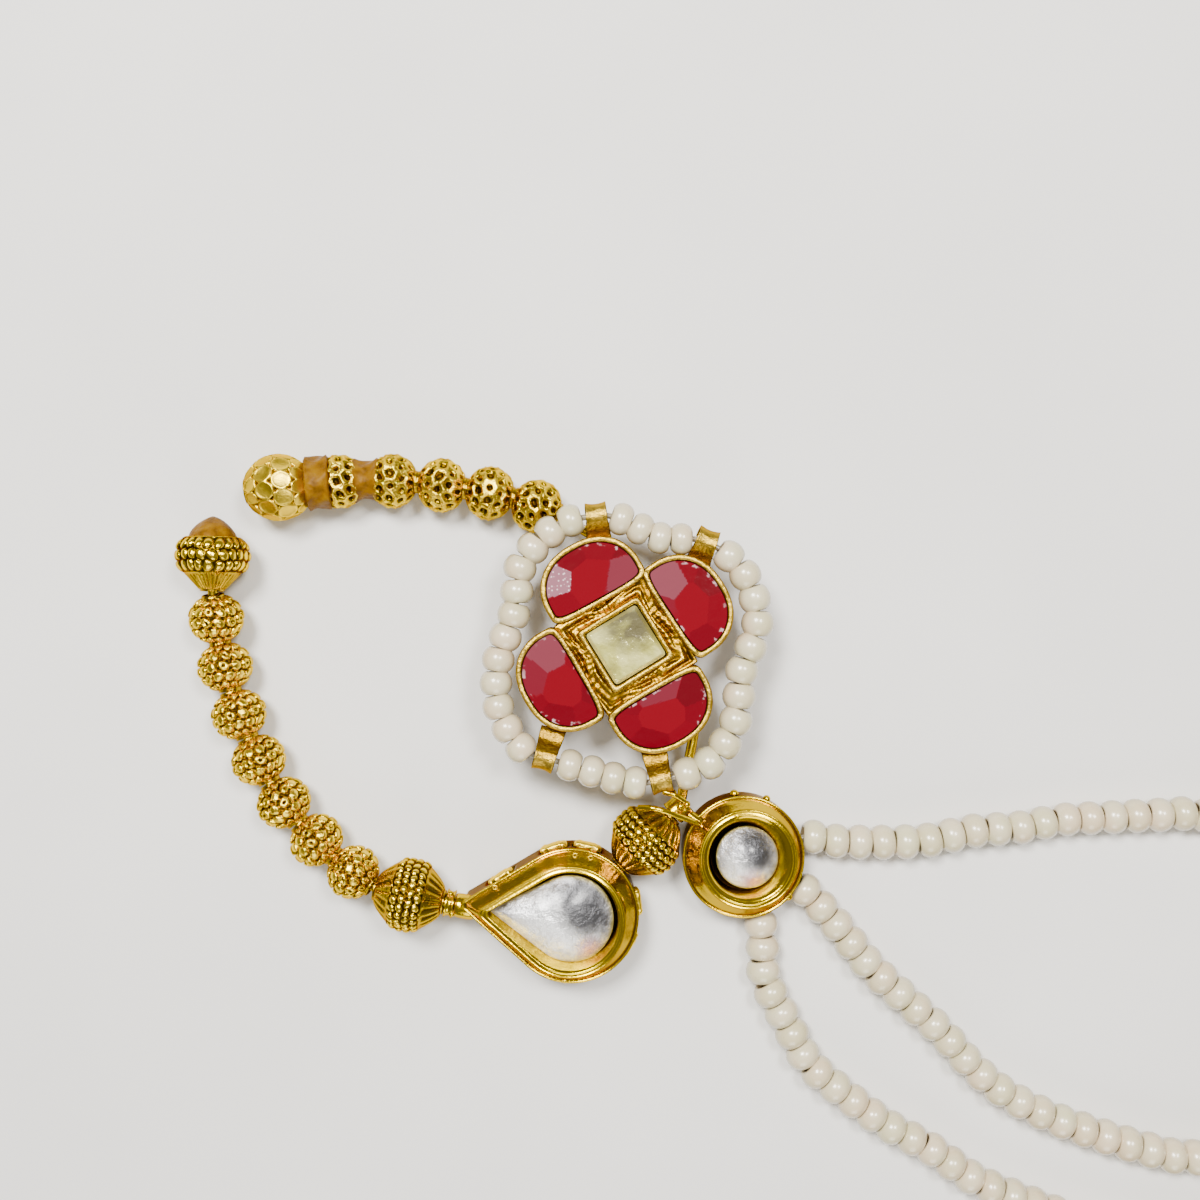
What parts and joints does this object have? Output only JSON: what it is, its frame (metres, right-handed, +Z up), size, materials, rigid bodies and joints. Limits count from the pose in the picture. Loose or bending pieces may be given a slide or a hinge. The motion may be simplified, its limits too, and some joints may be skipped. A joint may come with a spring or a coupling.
{
  "type": "nath",
  "caption": "Bridal nose ring lying flat: an open C of gold beads with teardrop and round stone settings, a pearl-edged flower of red petal stones, and pearl strands ending in a hair hook.",
  "frame": {"origin": "near the middle of the teardrop setting's flat back, on the surface the jewel lies on", "axes": "+Z up from the surface, +X from the nose clip towards the hair hook"},
  "size_m": [0.1188, 0.0711, 0.0072],
  "materials": {
    "bright_gold": "bright polished yellow gold",
    "antique_gold": "satin antique gold",
    "wax": "satin amber wax",
    "pearl": "lustrous cream white",
    "clear_stone": "foil-backed clear, polished",
    "red_stone": "deep ruby red, faceted",
    "yellow_stone": "pale yellow-green, faceted"
  },
  "bodies": {
    "root": {"band_bead_left": "bright_gold", "band_bead_right": "bright_gold", "lower_bead_1": "bright_gold", "lower_bead_2": "bright_gold", "lower_bead_3": "bright_gold", "lower_bead_4": "bright_gold", "lower_bead_5": "bright_gold", "lower_bead_6": "bright_gold", "lower_bead_7": "bright_gold", "lower_end_bead": "bright_gold", "upper_bead_1": "bright_gold", "upper_bead_2": "bright_gold", "upper_bead_3": "bright_gold", "upper_bead_4": "bright_gold", "upper_bead_5": "bright_gold", "upper_end_bead": "bright_gold", "lower_wire": "bright_gold", "upper_wire": "bright_gold", "teardrop_setting": "bright_gold", "round_setting": "bright_gold", "hair_hook": "bright_gold", "flower_frame": "antique_gold", "wax_cap": "wax", "wax_sleeve": "wax", "wax_collar": "wax", "pearl_ring": "pearl", "pearl_strand_top": "pearl", "pearl_strand_middle": "pearl", "pearl_strand_lower": "pearl", "teardrop_stone": "clear_stone", "round_stone": "clear_stone", "petal_stone_1": "red_stone", "petal_stone_2": "red_stone", "petal_stone_3": "red_stone", "petal_stone_4": "red_stone", "centre_stone": "yellow_stone"}
  },
  "joints": []
}
